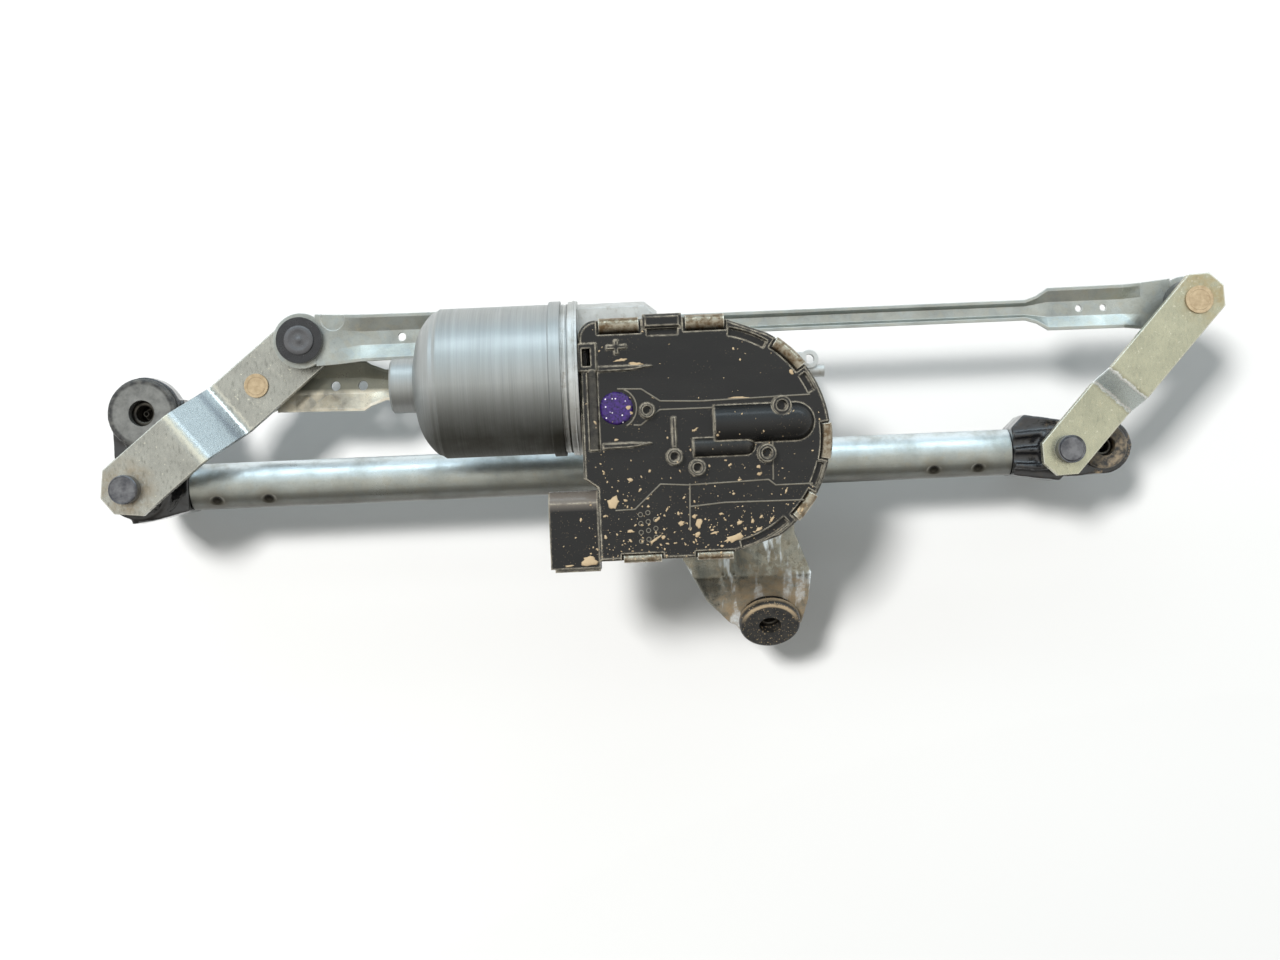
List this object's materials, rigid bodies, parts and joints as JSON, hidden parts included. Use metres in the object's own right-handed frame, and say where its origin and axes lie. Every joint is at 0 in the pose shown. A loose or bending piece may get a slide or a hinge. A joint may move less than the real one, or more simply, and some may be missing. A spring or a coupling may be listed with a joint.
{
  "type": "windshield wiper assembly",
  "caption": "Front wiper linkage: tube frame with two spindles, cranked levers, channel links and a motor with a covered gearbox.",
  "frame": {"origin": "on the left wiper spindle's axis, in the middle of the thread that takes the wiper arm's nut", "axes": "+X along the frame tube from the left spindle to the right one, +Z towards the levers and the motor cover, the spindles' threads point to -Z"},
  "size_m": [0.5959, 0.191, 0.1761],
  "materials": {
    "zinc_tube": "galvanised, satin",
    "black_casting": "gloss black paint",
    "zinc_plate": "zinc plated, satin",
    "grey_zinc_lever": "zinc plated, grained",
    "yellow_zinc_lever": "yellow chromate, satin",
    "can_steel": "drawn steel, satin",
    "cast_aluminium": "as cast",
    "bright_steel": "polished",
    "dark_steel": "dark oxide",
    "copper_rivet": "coppered",
    "rubber": "matt",
    "sleeve_steel": "zinc plated",
    "black_socket": "satin",
    "grey_cap": "satin",
    "bush_bronze": "sintered",
    "magnet_ferrite": "matt",
    "core_steel": "laminated",
    "copper_wire": "enamelled",
    "brush_carbon": "matt",
    "inner_plastic": "matt",
    "wheel_plastic": "satin",
    "black_cover": "gloss black",
    "board": "lacquered"
  },
  "bodies": {
    "frame": {"frame_tube": "zinc_tube", "left_bearing_housing": "black_casting", "right_bearing_housing": "black_casting", "motor_bracket": "zinc_plate", "bracket_screws": "bright_steel", "left_spindle_bushes": "bush_bronze", "right_spindle_bushes": "bush_bronze", "left_grommet": "rubber", "right_grommet": "rubber", "lower_grommet": "rubber", "left_mount_sleeve": "sleeve_steel", "right_mount_sleeve": "sleeve_steel", "lower_mount_sleeve": "sleeve_steel", "pole_housing": "can_steel", "magnets": "magnet_ferrite", "brush_holder": "inner_plastic", "brushes": "brush_carbon", "armature_bearings": "bush_bronze", "gear_housing": "cast_aluminium", "output_bush": "bush_bronze", "cover_gasket": "rubber", "motor_cover": "black_cover", "cover_clips": "bright_steel", "circuit_board": "board", "board_parts": "inner_plastic", "connector": "black_cover", "connector_pins": "bush_bronze"},
    "armature": {"armature_shaft": "dark_steel", "armature_core": "core_steel", "windings": "copper_wire", "commutator": "copper_wire"},
    "crank": {"output_shaft": "dark_steel", "worm_wheel": "wheel_plastic", "motor_crank": "bright_steel", "crank_nut": "bright_steel", "crank_stud": "copper_rivet"},
    "crank_socket": {"crank_socket": "black_socket"},
    "left_lever": {"left_lever": "grey_zinc_lever", "left_spindle": "dark_steel", "left_circlip": "bright_steel", "left_link_stud": "copper_rivet", "motor_link_stud": "copper_rivet"},
    "right_lever": {"right_lever": "yellow_zinc_lever", "right_spindle": "dark_steel", "right_circlip": "bright_steel", "right_link_stud": "copper_rivet"},
    "long_link": {"long_link": "zinc_plate", "left_link_socket": "black_socket", "left_link_socket_cap": "grey_cap", "right_eye_cap": "black_socket"},
    "motor_link": {"motor_link": "zinc_plate", "motor_link_socket": "black_socket", "motor_link_socket_cap": "grey_cap", "crank_eye_cap": "black_socket"},
    "right_socket": {"right_link_socket": "black_socket"}
  },
  "joints": [
    {"name": "armature_spin", "type": "hinge", "parent": "frame", "child": "armature", "pos_m": [0.2, 0.046, 0.131], "axis": [1, 0, 0], "range_deg": [0, 4089.08]},
    {"name": "crank_turn", "type": "hinge", "parent": "frame", "child": "crank", "pos_m": [0.29, 0.0215, 0.093], "axis": [0, 0, 1], "range_deg": [0, 99.75]},
    {"name": "left_lever_swing", "type": "hinge", "parent": "frame", "child": "left_lever", "pos_m": [0, 0, 0.063], "axis": [0, 0, 1], "range_deg": [0, 70.02]},
    {"name": "right_lever_swing", "type": "hinge", "parent": "frame", "child": "right_lever", "pos_m": [0.496, 0, 0.063], "axis": [0, 0, 1], "range_deg": [0, 82.5]},
    {"name": "long_link_swing", "type": "hinge", "parent": "left_lever", "child": "long_link", "pos_m": [0.09287, 0.0752, 0.082], "axis": [0, 0, 1], "range_deg": [-74.29, 0]},
    {"name": "motor_link_swing", "type": "hinge", "parent": "left_lever", "child": "motor_link", "pos_m": [0.06567, 0.05318, 0.06], "axis": [0, 0, 1], "range_deg": [-69.46, 0]},
    {"name": "right_socket_swing", "type": "hinge", "parent": "right_lever", "child": "right_socket", "pos_m": [0.5641, 0.07458, 0.0933], "axis": [0, 0, 1], "range_deg": [-86.77, 0]},
    {"name": "crank_socket_swing", "type": "hinge", "parent": "crank", "child": "crank_socket", "pos_m": [0.349, 0.046, 0.0598], "axis": [0, 0, 1], "range_deg": [-99.19, 0]}
  ],
  "couplings": [
    {"joint": "left_lever_swing", "follows": "armature_spin", "ratio": 0.017119},
    {"joint": "right_lever_swing", "follows": "armature_spin", "ratio": 0.02017},
    {"joint": "crank_turn", "follows": "armature_spin", "ratio": 0.02439},
    {"joint": "long_link_swing", "follows": "armature_spin", "ratio": -0.018163},
    {"joint": "motor_link_swing", "follows": "armature_spin", "ratio": -0.016981},
    {"joint": "right_socket_swing", "follows": "armature_spin", "ratio": -0.021214},
    {"joint": "crank_socket_swing", "follows": "armature_spin", "ratio": -0.024252}
  ]
}
